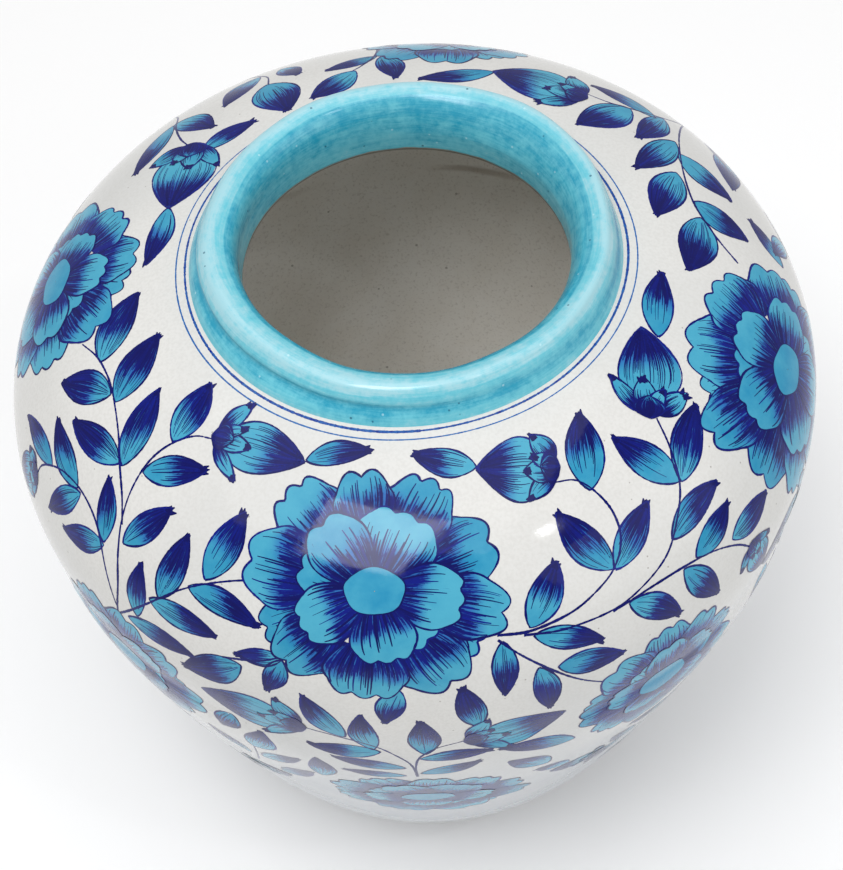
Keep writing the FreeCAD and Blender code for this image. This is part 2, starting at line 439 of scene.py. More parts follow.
def build_interior():
    """The bare inner half of the wall."""
    inside = np.concatenate([bezier(INNER_LOWER, 90), bezier(INNER_UPPER, 70)])
    tangent = np.gradient(inside, axis=0)
    outward = np.stack([tangent[:, 1], -tangent[:, 0]], -1)
    outward /= np.linalg.norm(outward, axis=1)[:, None]
    backing = (inside + 1.8 * outward)[::-3]
    section = np.concatenate([inside, backing])
    turned("bare_interior", revolve(section, 240), INTERIOR_CLAY)


def build_foot():
    """The turned foot ring, with eased edges and a shallow recess."""
    outline = [(38.4, 0.5), (39.4, 0.0), (45.6, 0.0), (46.7, 0.5), (47.0, 1.5), (46.8, 4.0)]
    outline += [(46.2, 8.0), (46.0, 9.1), (38.0, 9.1), (37.5, 8.0), (37.5, 1.6)]
    outline = np.array(outline + outline[:1])
    rings = revolve(resample(outline, 0.6)[:-1], 240)
    piece = turned("foot_ring_turned", rings, FOOT_CLAY)
    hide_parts("foot_ring", "foot_slip")


def neck_section():
    """The neck from its foot up over the lip and down into the mouth, as (radius, height)."""
    skirt = bezier([(50.9, 196.3), (50.4, 197.2), (49.8, 199.2), (49.2, 201.2)], 14)
    roll_out = bezier([(49.2, 201.2), (48.6, 203.2), (47.9, 205.2), (46.5, 205.7), (45.0, 205.5)], 22)
    roll_in = bezier([(45.0, 205.5), (42.2, 205.0), (39.4, 203.2), (38.4, 199.2), (38.8, 191.0)], 34)
    return np.concatenate([skirt, roll_out[1:], roll_in[1:]])


def build_neck():
    """The turquoise neck and lip: a hand-rolled coil, so it leans, swells and is grooved in places."""
    front = neck_section()
    lengths = arc_lengths(front)
    back = bezier([(40.6, 191.0), (41.0, 196.0), (43.0, 198.0), (49.0, 196.0)], 16)
    section = np.concatenate([front, back[:-1]])
    turn = np.linspace(0, 2 * math.pi, AROUND, endpoint=False)[:, None]
    radius, height = section[None, :, 0], section[None, :, 1]
    # rise: 0 at the neck's foot to 1 at the lip. outside: 0 in the mouth to 1 on the outer face.
    rise = np.clip((height - 197.0) / 7.0, 0, 1)
    outside = np.clip((radius - 44.0) / 4.0, 0, 1)
    swell = 0.28 * np.sin(3 * turn + 0.8) + 0.22 * np.sin(5 * turn + 2.1) + 0.10 * np.sin(11 * turn)
    grooved = (0.5 + 0.5 * np.cos(turn - math.radians(GROOVE_AZIMUTH))) ** 4
    groove = np.exp(-(((height - 200.3) / 1.3) ** 2)) * outside * 1.3 * grooved
    radius = radius + swell * rise - groove + 0.7 * grooved * outside * rise - 0.7 * outside * rise
    height = height - rise * (0.9 * np.cos(turn) - 0.25 * np.sin(4 * turn + 0.5))
    x = radius * np.sin(turn) + rise * (1.4 - 0.5 * outside) + NECK_SHIFT
    y = -radius * np.cos(turn) + 0.6 * rise
    piece = turned("turquoise_neck", np.stack([x, y, height], -1), TURQUOISE)
    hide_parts("neck_slip", "neck_collar", "rolled_lip")

    down = np.interp(np.arange(len(section)), np.arange(len(front)), lengths)
    around = np.abs(np.linspace(-150, 150, AROUND))[:, None]
    section_radius, section_height = section[:, 0], section[:, 1]
    # Where the glaze ran thin over the lip's crest, and thick in the mouth and under the lip. The
    # crest's paleness is also a painted highlight along the top of the lip.
    thin_crest_and_highlight = np.exp(-(((section_radius - 46.3) / 2.2) ** 2)) * (section_height > 203.5)
    inner = np.clip((section_height - 190) / 12, 0, 1) * (section_radius < 42.5)
    below_lip = np.exp(-(((section_height - 200.0) / 1.6) ** 2)) * (section_radius > 46)
    cover = 0.50 - 0.46 * thin_crest_and_highlight + 0.34 * inner + 0.40 * below_lip
    bare = np.clip((191.6 - section_height) / 2.0 + 0.5, 0, 1) * (section_radius < 42)
    shape = (AROUND, len(section))
    set_attribute(piece, "around", np.broadcast_to(around, shape))
    set_attribute(piece, "down", np.broadcast_to(down[None, :], shape))
    set_attribute(piece, "cover", np.broadcast_to(cover[None, :], shape))
    set_attribute(piece, "bare", np.broadcast_to(bare[None, :], shape))


build_body()
build_interior()
build_foot()
build_neck()
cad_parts["base_floor"].data.materials.clear()
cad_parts["base_floor"].data.materials.append(INTERIOR_CLAY)

# ---------------------------------------------------------------- painting

# How far washes, the brush marks in them and outlines stand off the glaze, in mm.
WASH_LIFT, STROKE_LIFT, LINE_LIFT = 0.012, 0.017, 0.020
LAYER = 0.015  # how far one petal lies over the last
SOLID = 3.0  # cobalt with no brush marks showing through


class Painting:
    """One painted motif or spray: thin films that lie on the body."""

    COLUMNS = ("azimuth", "arc", "lift", "cobalt", "tone", "brush_x", "brush_y")

    def __init__(self, name, seed):
        self.name = name
        self.rng = np.random.RandomState(seed)
        self.columns = {key: [] for key in self.COLUMNS}
        self.faces = []
        self.count = 0

    def add(self, azimuth, arc, lift, cobalt, tone, brush_x=0.0, brush_y=0.0):
        """A film over a grid of places (rows x columns), facing outward."""
        rows, columns = azimuth.shape
        arc = np.clip(arc, 0.2, ARC_END - 0.5)
        values = (azimuth, arc, lift, cobalt, tone, brush_x, brush_y)
        for store, value in zip(self.columns.values(), values):
            store.append(np.broadcast_to(value, azimuth.shape).ravel())
        faces = grid_faces(rows, columns, start=self.count)
        along, across = np.gradient(azimuth), np.gradient(arc)
        if (along[0] * across[1] - along[1] * across[0]).sum() < 0:
            faces = [face[::-1] for face in faces]
        self.faces += faces
        self.count += rows * columns

    def build(self):
        data = {key: np.concatenate(parts) for key, parts in self.columns.items()}
        points = body_point(data["azimuth"], data["arc"], data["lift"])
        piece = make_mesh(self.name, points, self.faces, PAINT)
        normals = body_normal(data["azimuth"], data["arc"])
        piece.data.normals_split_custom_set_from_vertices(normals.tolist())
        for key in ("cobalt", "tone", "brush_x", "brush_y"):
            set_attribute(piece, key, data[key])


class Spot:
    """A flat drawing frame on the body: x mm to the right, y mm towards the neck."""

    def __init__(self, azimuth, arc):
        self.azimuth, self.arc = azimuth, arc
        spread = radius_at(arc + 2.0) - radius_at(arc - 2.0)
        self.bend = spread / 4.0 / (2.0 * radius_at(arc))

    def place(self, x, y):
        """The (azimuth, arc) of a point of the frame."""
        arc = self.arc - y + self.bend * x * x
        return self.azimuth + np.degrees(x / radius_at(np.clip(arc, 0, ARC_END))), arc

    def flat(self, azimuth, arc):
        """The frame's point at an (azimuth, arc)."""
        x = np.radians(np.asarray(azimuth) - self.azimuth) * radius_at(arc)
        return np.stack([x, self.arc - np.asarray(arc) + self.bend * x * x], -1)


def smooth_line(points, count):
    """A Catmull-Rom curve through the points."""
    points = np.asarray(points, float)
    ends = np.vstack([2 * points[0] - points[1], points, 2 * points[-1] - points[-2]])
    places = np.linspace(0, len(points) - 1, count)
    index = np.minimum(places.astype(int), len(points) - 2)
    t = (places - index)[:, None]
    a, b, c, d = (ends[index + k] for k in range(4))
    return 0.5 * (
        2 * b
        + (c - a) * t
        + (2 * a - 5 * b + 4 * c - d) * t**2
        + (3 * b - a - 3 * c + d) * t**3
    )


def turn_by(x, y, angle):
    """Turns points clockwise."""
    return x * math.cos(angle) + y * math.sin(angle), y * math.cos(angle) - x * math.sin(angle)


class Brush:
    """Draws in a frame of its own, set on a spot: origin in the spot's mm, turned clockwise."""

    def __init__(self, painting, spot, origin=(0.0, 0.0), angle=0.0, lift=0.0):
        self.painting, self.spot = painting, spot
        self.origin, self.angle, self.lift = origin, angle, lift
        self.rng = painting.rng

    def inner(self, origin, angle, lift):
        """A brush in a frame inside this one."""
        x, y = turn_by(origin[0], origin[1], self.angle)
        place = (self.origin[0] + x, self.origin[1] + y)
        return Brush(self.painting, self.spot, place, self.angle + angle, self.lift + lift)

    def place(self, x, y):
        x, y = turn_by(x, y, self.angle)
        return self.spot.place(x + self.origin[0], y + self.origin[1])

    def wash(self, x, y, cobalt, tone, across):
        """A filled shape. across numbers its brush marks in mm."""
        azimuth, arc = self.place(x, y)
        shift = self.rng.uniform(0, 400)
        self.painting.add(azimuth, arc, WASH_LIFT + self.lift, cobalt, tone, across + shift, y + shift)

    def line(self, points, widths, lift, tone):
        """A cobalt brush line: points (n, 2) in mm, with the full width at each."""
        direction = np.gradient(points, axis=0)
        direction /= np.maximum(np.linalg.norm(direction, axis=1), 1e-9)[:, None]
        side = np.stack([-direction[:, 1], direction[:, 0]], -1) * (np.asarray(widths) / 2)[:, None]
        edges = np.stack([points + side, points - side], 1)
        azimuth, arc = self.place(edges[..., 0], edges[..., 1])
        self.painting.add(azimuth, arc, lift + self.lift, SOLID, tone)

    def outline(self, x, y, width=0.44):
        """A drawn contour whose pressure comes and goes."""
        points = resample(np.stack([x, y], -1), 0.6)
        widths = hand_pressure(len(points), self.rng, width)
        self.line(points, widths, LINE_LIFT, self.rng.uniform(0.2, 0.7))


def hand_pressure(count, rng, width, swing=0.25):
    """Widths along a hand-drawn line."""
    steps = np.linspace(0, 1, count)
    swell = 1 + swing * np.sin(steps * rng.uniform(6, 13) + rng.uniform(0, 6.28))
    swell = swell + 0.12 * rng.randn(count)
    return width * np.clip(swell, 0.4, 1.6)


# Each shape below gives x, y in mm on a grid of u (0 base to 1 tip) and v (-1 to 1 across).


def shape_grid(rows, columns):
    return np.meshgrid(np.linspace(0, 1, rows), np.linspace(-1, 1, columns), indexing="ij")


def blade(length, width, bend, fullness, u, v):
    """A leaf: fullness under 1 puts its widest place nearer the base."""
    half = width / 2 * np.sin(np.pi * np.clip(u, 0, 1) ** fullness) ** 0.85
    return v * half + bend * length * np.sin(np.pi * u), u * length


def petal(start, reach, half_width, lobes, u, v):
    """A petal with rounded shoulders and a scalloped tip."""
    scallop = np.abs(np.sin(np.pi * lobes * (v + 1) / 2)) ** 0.9
    tip = reach * (1 - 0.12 * np.abs(v) ** 3 - 0.065 * (1 - scallop))
    swell = 0.50 + 0.50 * np.sin(np.pi / 2 * np.clip(1.35 * u, 0, 1))
    swell = swell * (1 - 0.14 * np.clip((u - 0.7) / 0.3, 0, 1) ** 2)
    return v * half_width * swell, start + (tip - start) * u


def paint_blade(
    brush, length, width, dark_from, fullness=0.88, dark_tip=True, strokes_per_mm=1.9, tone=0.2
):
    """A leaf-shaped mark. dark_from: the share of its length at which cobalt begins."""
    rng = brush.rng
    bend = rng.uniform(-0.05, 0.05)
    heavy_side = rng.uniform(-0.16, 0.16)
    u, v = shape_grid(24, 11)
    x, y = blade(length, width, bend, fullness, u, v)
    reach = (u if dark_tip else 1 - u) + heavy_side * v
    cobalt = np.clip((reach - dark_from + 0.12) / 0.40, 0, 0.80)
    brush.wash(x * 0.97, y, cobalt, tone + rng.uniform(-0.1, 0.2) + 0.2 * reach, v * width / 2)
    strokes = max(int(width * strokes_per_mm), 5)
    for k in range(strokes):
        across = (k + rng.uniform(0.2, 0.8)) / strokes * 1.7 - 0.85
        near = dark_from + rng.uniform(-0.34, 0.12)
        along = np.linspace(max(near, 0.06), 0.95, 12)
        line_x, line_y = blade(length, width, bend, fullness, along if dark_tip else 1 - along, across)
        widths = rng.uniform(0.26, 0.6) * np.linspace(0.2, 1.0, 12) ** 0.8
        brush.line(np.stack([line_x, line_y], -1), widths, STROKE_LIFT, rng.uniform(0.2, 0.9))
    for side in (0, -1):
        brush.outline(x[:, side], y[:, side])


def tuft(brush, length):
    """The ragged end of a leaf, where the brush was flicked off."""
    rng = brush.rng
    for _ in range(4):
        lean, reach = rng.uniform(-0.6, 0.6), rng.uniform(1.3, 2.3)
        root = np.array([rng.uniform(-0.45, 0.45), length - 1.6])
        point = root + reach * np.array([math.sin(lean), math.cos(lean)])
        brush.line(np.stack([root, (root + point) / 2, point]), [1.3, 1.0, 0.25], LINE_LIFT, 0.8)


def span(painting, base, tip, lift=0.0):
    """A brush whose y axis runs from base to tip, each an (azimuth, arc), and its length in mm."""
    spot = Spot((base[0] + tip[0]) / 2, (base[1] + tip[1]) / 2)
    start, end = spot.flat(*base), spot.flat(*tip)
    angle = math.atan2(end[0] - start[0], end[1] - start[1])
    return Brush(painting, spot, start, angle, lift), float(np.linalg.norm(end - start))


def leaf(painting, base, tip, width):
    brush, length = span(painting, base, tip)
    paint_blade(brush, length, width, brush.rng.uniform(0.30, 0.52))
    tuft(brush, length)


BUD_LIFT = 0.03  # keeps a bud over the end of its stem

# A bud's sepals: place across the stalk, angle in radians, length and width. All but the angle
# are shares of the bud's own size.
SEPALS = [
    (-0.10, -0.95, 0.44, 0.34),
    (0.10, 0.72, 0.50, 0.26),
    (0.04, 0.05, 0.40, 0.36),
    (-0.02, -0.45, 0.32, 0.24),
]


def bud(painting, stalk, tip, width):
    """A closed bud: a teardrop of petals, dark at its tip, in a cup of uneven sepals."""
    brush, length = span(painting, stalk, tip, BUD_LIFT)
    rng = brush.rng
    body = brush.inner((0.0, 0.10 * length), 0.0, 0.0)
    paint_blade(body, 0.90 * length, width, 0.52, 0.74, True, 2.2, 0.0)
    flip = rng.choice([-1, 1])
    for layer, (across, angle, size, spread) in enumerate(SEPALS):
        turn = flip * angle + rng.uniform(-0.1, 0.1)
        sepal = brush.inner((flip * across * width, 0.02 * length), turn, LAYER * (layer + 2))
        paint_blade(sepal, size * length, spread * width, 0.58, 0.9, False, 2.6, 0.1)
        tuft(sepal, size * length)
    cup = brush.inner((0.0, -0.03 * length), 0.0, LAYER * 7)
    paint_blade(cup, 0.24 * length, 0.50 * width, 0.20, 0.9, False, 2.4, 0.5)


STEM_WIDTH = 0.54


def stem(painting, places):
    """A stem through places (azimuth, arc), thinner at its far end."""
    places = np.asarray(places, float)
    spot = Spot(places[:, 0].mean(), places[:, 1].mean())
    points = smooth_line(spot.flat(places[:, 0], places[:, 1]), 14 * len(places))
    widths = hand_pressure(len(points), painting.rng, STEM_WIDTH, 0.18)
    widths = widths * np.linspace(1.15, 0.8, len(points))
    Brush(painting, spot).line(points, widths, STROKE_LIFT, 0.45)


# A flower's petals at size 1: clockwise heading from the neck, reach and half width in mm, lobes at
# the tip, and the layer it lies in, so that neighbours overlap.
OUTER_PETALS = [
    (350, 26.8, 6.8, 2, 3),
    (25, 27.0, 8.2, 3, 2),
    (65, 27.8, 8.4, 2, 1),
    (97, 31.0, 7.2, 2, 2),
    (114, 27.0, 6.5, 2, 0),
    (140, 28.5, 9.2, 2, 1),
    (185, 26.0, 9.6, 3, 2),
    (229, 27.5, 8.0, 2, 1),
    (249, 26.5, 6.5, 2, 0),
    (281, 29.5, 9.0, 2, 2),
    (316, 29.0, 8.6, 3, 1),
]
INNER_PETALS = [
    (21, 19.0, 9.4, 3, 5),
    (93, 19.6, 7.2, 3, 6),
    (130, 16.0, 5.6, 2, 4),
    (168, 16.2, 7.4, 3, 7),
    (242, 18.2, 6.8, 3, 6),
    (285, 17.5, 5.6, 2, 4),
    (318, 19.5, 7.2, 2, 6),
]
HEART_LAYER = 9
OUTER_START, INNER_START = 12.0, 4.0
HEART_WIDE, HEART_TALL = 6.9, 5.0


def paint_petal(brush, start, reach, half_width, lobes, dark):
    """One petal, from its hidden start to its tip. dark: the share of it that cobalt covers."""
    rng = brush.rng
    u, v = shape_grid(16, 33)
    x, y = petal(start, reach, half_width, lobes, u, v)
    heavy_side = rng.uniform(-0.10, 0.10)
    cobalt = np.clip((dark - u + 0.12 * v**2 + heavy_side * v) / 0.42 + 0.1, 0, 0.70)
    brush.wash(x, y, cobalt, rng.uniform(-0.1, 0.35) + 0.35 * (1 - u), v * half_width)
    strokes = int(2.5 * half_width)
    for k in range(strokes):
        across = (k + rng.uniform(0.0, 1.0)) / strokes * 1.84 - 0.92
        reach_to = dark + rng.uniform(-0.16, 0.22) + 0.10 * across**2 + heavy_side * across
        along = np.linspace(0.02, np.clip(reach_to, 0.25, 0.92), 12)
        line_x, line_y = petal(start, reach, half_width, 1, along, across)
        widths = rng.uniform(0.26, 0.80) * np.linspace(1.0, 0.15, 12) ** 0.6
        brush.line(np.stack([line_x, line_y], -1), widths, STROKE_LIFT, rng.uniform(0.1, 0.9))
    edge_x = np.concatenate([x[:, 0], x[-1, 1:-1], x[::-1, -1]])
    edge_y = np.concatenate([y[:, 0], y[-1, 1:-1], y[::-1, -1]])
    brush.outline(edge_x, edge_y, 0.46)


def paint_heart(brush):
    """The plain oval in the middle of a flower."""
    rng = brush.rng
    rings, angle = np.meshgrid(np.linspace(0.02, 1, 7), np.linspace(0, 2 * math.pi, 49), indexing="ij")
    uneven = 1 + 0.04 * np.sin(2 * angle + rng.uniform(0, 6))
    uneven = uneven + 0.03 * np.sin(5 * angle + rng.uniform(0, 6))
    x = HEART_WIDE * rings * uneven * np.cos(angle)
    y = HEART_TALL * rings * uneven * np.sin(angle)
    brush.wash(x, y, -1.0, 0.35, x)
    brush.outline(x[-1], y[-1], 0.30)


def flower(name, azimuth, arc, size, seed, turn, deeper):
    """A full flower: outer petals, inner petals and a heart.

    size 1 is about 60 mm wide, and deeper is how much more of each petal cobalt covers.
    """
    painting = Painting(name, seed)
    rng = painting.rng
    centre = Brush(painting, Spot(azimuth, arc))
    petals = [(OUTER_START, 0.63, *each) for each in OUTER_PETALS]
    petals += [(INNER_START, 0.54, *each) for each in INNER_PETALS]
    for start, dark, heading, reach, half_width, lobes, layer in petals:
        brush = centre.inner((0.0, 0.0), math.radians(heading + turn), LAYER * (layer + 1))
        reach = reach * size * rng.uniform(0.96, 1.03)
        dark = dark + deeper + rng.uniform(-0.08, 0.08)
        paint_petal(brush, start * size, reach, half_width * size, lobes, dark)
    paint_heart(centre.inner((0.0, 0.0), 0.0, LAYER * HEART_LAYER))
    painting.build()


def spray(name, seed, stems, leaves, buds, turn=0.0):
    """A spray of stems, leaves and buds, turned about the vase by turn degrees."""
    painting = Painting(name, seed)
    for places in stems:
        stem(painting, [(azimuth + turn, arc) for azimuth, arc in places])
    for base_azimuth, base_arc, tip_azimuth, tip_arc, width in leaves:
        leaf(painting, (base_azimuth + turn, base_arc), (tip_azimuth + turn, tip_arc), width)
    for base_azimuth, base_arc, tip_azimuth, tip_arc, width in buds:
        bud(painting, (base_azimuth + turn, base_arc), (tip_azimuth + turn, tip_arc), width)
    painting.build()


def neck_ring(name, arc, width, seed, cobalt):
    """A thin cobalt line drawn round the foot of the neck."""
    painting = Painting(name, seed)
    azimuth = np.linspace(0, 360, 900)
    turn = np.radians(azimuth)
    drift = 0.12 * np.sin(turn * 2 + seed) + 0.06 * np.sin(turn * 7 + seed)
    widths = hand_pressure(len(azimuth), painting.rng, width, 0.15)
    edges = np.stack([arc + drift - widths / 2, arc + drift + widths / 2], -1)
    painting.add(np.stack([azimuth, azimuth], -1), edges, LINE_LIFT, cobalt, 0.0)
    painting.build()


neck_ring("neck_line_bold", 0.9, 0.56, 3, 0.54)
neck_ring("neck_line_thin", 3.0, 0.33, 4, 0.48)

# Flowers: azimuth and arc of the heart, size, and how far the petals are turned, in degrees.
FLOWERS = {
    "shoulder": [
        (-8.5, 36.5, 1.0, 0),
        (71.4, 45.5, 1.05, 200),
        (169.5, 44.5, 0.92, 75),
        (-98.5, 38.5, 0.93, 130),
    ],
    "middle": [
        (31.8, 89.0, 0.86, 40),
        (120.0, 92.0, 0.88, 150),
        (216.0, 92.0, 0.88, 260),
        (-48.5, 89.5, 0.86, 310),
    ],
    "lower": [
        (-3.0, 134.5, 0.90, 15),
        (80.0, 136.0, 0.88, 100),
        (170.0, 134.0, 0.88, 220),
        (262.0, 135.0, 0.88, 290),
    ],
}

# How much more of each petal cobalt covers, by ring.
DEEPER = {"shoulder": 0.03, "middle": 0.12, "lower": 0.06}

for ring, (label, places) in enumerate(FLOWERS.items()):
    for index, (azimuth, arc, size, turn) in enumerate(places):
        seed = 10 * ring + index + 20
        flower("%s_flower_%d" % (label, index + 1), azimuth, arc, size, seed, turn, DEEPER[label])

# Sprays of the shoulder: stems as places, leaves as base azimuth, arc, tip azimuth, arc, width.
LEFT_STEMS = [
    [
        (-46.5, 66), (-46.8, 57), (-48.3, 49), (-50, 42), (-51.3, 35),
        (-51.8, 28), (-50.8, 22), (-48, 17), (-44.5, 15),
    ],
    [
        (-49.5, 43), (-52, 38), (-56, 33), (-60, 29),
        (-65, 26), (-70, 24.5), (-76, 25.2), (-81, 28.5),
    ],
    [
        (-46.6, 64), (-49, 57), (-52, 50), (-55, 46.5), (-59, 45),
        (-63, 45.8), (-66, 48), (-68.6, 52), (-69, 56),
    ],
    [(-46.3, 66), (-44, 61.5), (-41, 55.5), (-37.5, 49), (-34, 44.5), (-30, 41), (-25.5, 38.3)],
    [(-29, 60), (-24, 57.5), (-21, 55)],
]
LEFT_LEAVES = [
    (-51.5, 30.5, -41.5, 21.5, 7.0),
    (-48.0, 46.5, -43.2, 32.5, 6.6),
    (-33.6, 43.0, -31.4, 25.5, 7.6),
    (-39.7, 53.0, -38.6, 35.5, 6.8),
    (-35.8, 46.2, -24.2, 49.0, 6.2),
    (-41.2, 54.5, -30.0, 55.0, 6.2),
    (-42.8, 62.0, -44.0, 47.5, 5.6),
    (-44.5, 64.5, -33.2, 64.0, 5.8),
    (-20.5, 55.0, -27.2, 57.5, 4.6),
    (-20.6, 55.5, -22.8, 66.0, 5.6),
    (-26.2, 60.5, -35.2, 70.0, 9.0),
    (-50.7, 21.0, -54.2, 5.5, 7.8),
    (-55.3, 33.0, -61.6, 15.5, 7.6),
    (-56.0, 33.0, -68.8, 37.0, 7.2),
    (-65.5, 25.5, -74.0, 9.5, 8.6),
    (-75.0, 25.0, -87.5, 12.5, 9.2),
    (-67.5, 25.5, -76.5, 36.5, 8.4),
    (-59.8, 45.5, -71.5, 41.0, 6.4),
    (-51.2, 50.0, -56.0, 37.0, 5.8),
    (-51.0, 50.5, -59.5, 57.5, 6.2),
    (-58.8, 45.6, -63.8, 58.0, 6.6),
    (-66.5, 48.5, -77.5, 50.5, 5.6),
    (-24.5, 10.5, -11.0, 5.5, 5.6),
]
LEFT_BUDS = [(-44.5, 14.0, -24.5, 11.0, 12.0), (-69.0, 55.5, -75.0, 66.0, 11.0)]

RIGHT_STEMS = [
    [
        (8.0, 48.4), (12.5, 49.2), (18, 48.2), (22, 46.2), (26, 43),
        (28.8, 38), (29.7, 32), (28.8, 26), (26.8, 22), (23.5, 20.5),
    ],
    [
        (11.5, 49.8), (17, 51.3), (24, 51.6), (29, 50), (34, 46.8),
        (38, 41.5), (41.5, 36), (44.2, 29), (46.5, 22),
    ],
    [(24, 52), (30, 51.3), (36, 51.9), (41, 54), (45, 58), (47.6, 63)],
    [(8.0, 49.5), (10.5, 54), (14, 60), (18, 67), (22, 73), (24.8, 77)],
]
RIGHT_LEAVES = [
    (12.5, 48.5, 18.6, 36.2, 7.6),
    (12.8, 50.5, 22.0, 57.6, 5.8),
    (15.3, 60.5, 24.5, 64.5, 7.0),
    (8.6, 50.0, 8.2, 65.0, 5.8),
    (12.8, 59.0, 14.0, 75.0, 6.2),
    (26.0, 43.0, 21.2, 26.5, 7.8),
    (26.2, 43.3, 35.6, 34.3, 6.8),
    (28.2, 25.5, 35.6, 9.5, 8.6),
    (41.8, 35.5, 37.2, 18.5, 8.0),
    (42.0, 35.8, 54.0, 26.8, 7.8),
    (35.8, 44.5, 47.0, 41.5, 6.4),
    (38.0, 52.0, 46.6, 47.0, 6.4),
    (26.5, 52.0, 33.6, 63.0, 6.6),
    (35.6, 52.4, 40.3, 66.5, 7.0),
    (44.5, 55.5, 53.6, 54.5, 6.8),
    (10.6, 11.5, -2.2, 6.3, 6.6),
    (62.0, 12.0, 79.5, 9.0, 7.4),
]
RIGHT_BUDS = [
    (25.2, 17.5, 10.4, 12.0, 15.0),
    (46.0, 20.5, 62.5, 7.5, 15.0),
    (47.6, 62.0, 50.8, 76.0, 9.0),
]

FAR_RIGHT_STEMS = [
    [
        (87, 29), (91, 25), (96, 22.3), (101, 21.3), (107, 22.6),
        (113, 26), (119, 32), (123, 39), (125.5, 46),
    ],
    [(125.5, 46), (126, 38), (128.5, 31), (133, 25), (139, 22.6)],
]
FAR_RIGHT_LEAVES = [
    (96.8, 21.5, 81.5, 15.5, 10.0),
    (101.2, 21.6, 93.4, 34.0, 8.4),
    (109.5, 21.5, 96.5, 9.5, 9.4),
    (115.0, 27.0, 103.0, 34.5, 8.2),
    (118.6, 30.0, 112.0, 11.0, 8.2),
    (126.0, 36.5, 121.0, 19.0, 7.4),
    (129.8, 28.5, 131.0, 8.5, 10.5),
    (91.5, 46.0, 99.6, 37.8, 5.4),
    (118.0, 50.0, 106.5, 38.0, 8.6),
    (126.2, 33.5, 139.6, 29.5, 6.2),
    (157.0, 17.2, 173.5, 9.5, 6.4),
]
FAR_RIGHT_BUDS = [(137.0, 20.5, 157.4, 17.5, 17.0)]

BACK_STEMS = [
    [(183, 45), (182, 34), (183, 25), (186, 19.5), (188.5, 17)],
    [(219, 46), (220.5, 38), (224, 31), (227, 24), (228.5, 19)],
    [(207, 46), (204.5, 38), (203.5, 31), (205, 24.5)],
]
BACK_LEAVES = [
    (181.5, 24.5, 178.5, 10.0, 7.0),
    (187.5, 17.0, 200.2, 8.5, 8.4),
    (182.4, 25.0, 193.6, 21.0, 5.0),
    (205.2, 25.0, 207.0, 7.0, 12.5),
    (200.0, 34.5, 198.5, 24.0, 6.2),
    (204.2, 34.5, 215.2, 24.6, 7.2),
    (229.0, 13.0, 214.5, 10.0, 6.0),
    (222.8, 34.0, 221.5, 18.0, 8.0),
    (223.2, 34.0, 238.2, 28.0, 6.4),
    (248.0, 9.8, 265.4, 11.0, 6.4),
]
BACK_BUDS = [(228.0, 17.5, 248.4, 9.6, 17.0)]

spray("spray_left", 51, LEFT_STEMS, LEFT_LEAVES, LEFT_BUDS)
spray("spray_right", 52, RIGHT_STEMS, RIGHT_LEAVES, RIGHT_BUDS)
spray("spray_far_right", 53, FAR_RIGHT_STEMS, FAR_RIGHT_LEAVES, FAR_RIGHT_BUDS)
spray("spray_back", 54, BACK_STEMS, BACK_LEAVES, BACK_BUDS)

# The band below the shoulder flowers: one spray over each lower flower.
BAND_STEMS = [
    [(-4, 108), (-4.3, 100), (-5.2, 94), (-7.5, 88.5), (-11, 84), (-15, 81), (-18.5, 79.5)],
    [(-4, 107), (-4, 98), (-3.3, 91.5), (-1, 87), (2.5, 84)],
    [(-31, 128), (-29.5, 118), (-28.4, 107)],
]
BAND_LEAVES = [
    (-13.0, 81.5, -18.0, 64.5, 7.2),
    (-9.5, 88.0, -10.5, 69.0, 6.6),
    (-2.5, 90.0, -2.8, 71.0, 7.4),
    (4.6, 76.0, 2.6, 60.0, 6.6),
    (-5.2, 60.0, -7.4, 72.0, 6.4),
    (-8.5, 88.8, -18.4, 89.5, 6.8),
    (-5.4, 99.5, -15.5, 94.5, 6.4),
    (-5.6, 107.0, -14.6, 105.0, 5.6),
    (-3.3, 92.5, 6.6, 91.0, 5.6),
    (-3.5, 104.8, 5.0, 97.4, 6.6),
    (18.5, 100.0, 7.5, 91.5, 7.6),
    (15.6, 117.0, 9.0, 103.0, 8.0),
    (-28.4, 107.0, -25.2, 90.0, 8.0),
    (-18.8, 118.0, -18.0, 98.5, 6.8),
    (-28.5, 118.0, -21.0, 104.5, 6.2),
    (-27.0, 132.0, -20.4, 117.5, 6.4),
    (-29.4, 86.5, -32.0, 97.0, 6.8),
    (-31.0, 120.0, -36.0, 106.0, 7.0),
    (20.0, 128.0, 14.0, 121.0, 6.0),
]
BAND_BUDS = [(-18.5, 79.5, -33.0, 77.0, 16.0), (3.0, 84.0, 16.2, 79.5, 14.5)]

BAND_TURNS = (0.0, 84.0, 174.0, 266.0)

for index, turn in enumerate(BAND_TURNS):
    spray("band_spray_%d" % (index + 1), 60 + index, BAND_STEMS, BAND_LEAVES, BAND_BUDS, turn)

